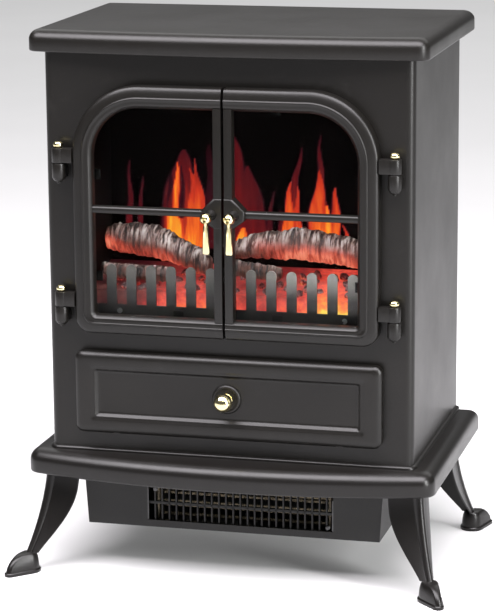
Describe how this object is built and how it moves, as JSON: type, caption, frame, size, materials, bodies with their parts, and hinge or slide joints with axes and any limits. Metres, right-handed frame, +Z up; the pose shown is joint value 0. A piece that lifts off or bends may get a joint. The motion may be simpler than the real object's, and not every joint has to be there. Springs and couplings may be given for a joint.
{
  "type": "electric fireplace",
  "caption": "Free-standing electric stove on splayed legs, with arched glazed doors over a log-effect fire, a drop-down flap over the controls and a fan heater under the base.",
  "frame": {"origin": "on the floor, in the middle of the four feet's outline", "axes": "+X to the right as a viewer faces the doors, -Y towards the front with the doors, +Z up"},
  "size_m": [0.442, 0.292, 0.54],
  "materials": {
    "body_black": "satin charcoal-black stove enamel",
    "moulding_black": "satin black enamel on pressed mouldings",
    "heater_black": "near-black semi-matt",
    "sheet_black": "matt black inner sheet",
    "rear_black": "matt black powder coat",
    "galvanised": "plain zinc-plated sheet",
    "steel": "plain steel",
    "dark_screw": "blackened screws",
    "brass": "polished pale brass",
    "glass": "clear tempered glass",
    "screen": "smoked translucent screen that shows the flames",
    "embers": "translucent red-orange ember moulding, lit from behind",
    "log_bark": "moulded resin logs with grey ash on their tops and a red glow below",
    "fret_black": "dark grey satin fret",
    "aluminium": "bare aluminium",
    "motor": "steel motor can",
    "mica": "mica plates with resistance rods",
    "lamp_glass": "candle lamp, warm",
    "porcelain": "lamp holder and terminal block",
    "plastic_black": "black moulded plastic",
    "rocker_red": "red rocker",
    "magnet": "magnet in a dark holder"
  },
  "bodies": {
    "stove": {"top_plate": "body_black", "casing": "body_black", "rear_cover": "rear_black", "base_plinth": "moulding_black", "base_pan": "rear_black", "front_legs": "moulding_black", "rear_legs": "moulding_black", "feet": "moulding_black", "heater_housing": "heater_black", "outlet_grille": "heater_black", "heating_element": "mica", "thermal_cutout": "motor", "fan_motor": "motor", "fan_scroll": "galvanised", "shaft_bearings": "plastic_black", "firebox_liner": "sheet_black", "flame_screen": "screen", "flame_template": "galvanised", "spindle_motor": "motor", "lamp_holders": "porcelain", "lamp_bulbs": "lamp_glass", "ember_bed": "embers", "log_left": "log_bark", "log_right": "log_bark", "front_logs": "log_bark", "fret": "fret_black", "fret_screws": "steel", "hinge_brackets": "body_black", "hinge_pins": "brass", "flap_lugs": "steel", "catch_magnets": "magnet", "control_bay": "plastic_black", "control_bodies": "plastic_black", "terminal_block": "porcelain", "cable_gland": "plastic_black", "case_screws": "dark_screw"},
    "left_door": {"left_door": "body_black", "left_glass": "glass", "left_glass_clips": "sheet_black", "left_handle_ball": "brass", "left_hinge_arms": "body_black"},
    "right_door": {"right_door": "body_black", "right_glass": "glass", "right_glass_clips": "sheet_black", "right_handle_ball": "brass", "right_hinge_arms": "body_black"},
    "left_drop": {"left_handle_drop": "brass"},
    "right_drop": {"right_handle_drop": "brass"},
    "flap": {"flap": "body_black", "flap_rosette": "body_black", "flap_knob": "brass", "flap_pins": "steel"},
    "flame_switch": {"switch_flame": "rocker_red"},
    "low_heat_switch": {"switch_low": "plastic_black"},
    "high_heat_switch": {"switch_high": "plastic_black"},
    "brightness_dial": {"brightness_dial": "plastic_black"},
    "thermostat_dial": {"thermostat_dial": "plastic_black"},
    "fan_rotor": {"fan_rotor": "aluminium"},
    "flame_spindle": {"flame_spindle": "aluminium"}
  },
  "joints": [
    {"name": "left_door_hinge", "type": "hinge", "parent": "stove", "child": "left_door", "pos_m": [-0.1652, -0.109, 0.3258], "axis": [0, 0, -1], "range_deg": [0, 110]},
    {"name": "right_door_hinge", "type": "hinge", "parent": "stove", "child": "right_door", "pos_m": [0.1652, -0.109, 0.3258], "axis": [0, 0, 1], "range_deg": [0, 110]},
    {"name": "left_drop_swing", "type": "hinge", "parent": "left_door", "child": "left_drop", "pos_m": [-0.0113, -0.1358, 0.3682], "axis": [1, 0, 0], "range_deg": [-65, 18]},
    {"name": "right_drop_swing", "type": "hinge", "parent": "right_door", "child": "right_drop", "pos_m": [0.0113, -0.1358, 0.3682], "axis": [1, 0, 0], "range_deg": [-65, 18]},
    {"name": "flap_hinge", "type": "hinge", "parent": "stove", "child": "flap", "pos_m": [0, -0.1058, 0.1508], "axis": [1, 0, 0], "range_deg": [0, 80]},
    {"name": "flame_switch_rock", "type": "hinge", "parent": "stove", "child": "flame_switch", "pos_m": [-0.092, -0.0725, 0.1864], "axis": [1, 0, 0], "range_deg": [0, 16]},
    {"name": "low_heat_switch_rock", "type": "hinge", "parent": "stove", "child": "low_heat_switch", "pos_m": [-0.058, -0.0725, 0.1864], "axis": [1, 0, 0], "range_deg": [0, 16]},
    {"name": "high_heat_switch_rock", "type": "hinge", "parent": "stove", "child": "high_heat_switch", "pos_m": [-0.024, -0.0725, 0.1864], "axis": [1, 0, 0], "range_deg": [0, 16]},
    {"name": "brightness_turn", "type": "hinge", "parent": "stove", "child": "brightness_dial", "pos_m": [0.036, -0.0735, 0.1864], "axis": [0, -1, 0], "range_deg": [0, 270]},
    {"name": "thermostat_turn", "type": "hinge", "parent": "stove", "child": "thermostat_dial", "pos_m": [0.092, -0.0735, 0.1864], "axis": [0, -1, 0], "range_deg": [0, 270]},
    {"name": "fan_spin", "type": "hinge", "parent": "stove", "child": "fan_rotor", "pos_m": [0, 0.005, 0.075], "axis": [1, 0, 0], "continuous": true},
    {"name": "spindle_spin", "type": "hinge", "parent": "stove", "child": "flame_spindle", "pos_m": [0, 0.03, 0.249], "axis": [1, 0, 0], "continuous": true}
  ]
}
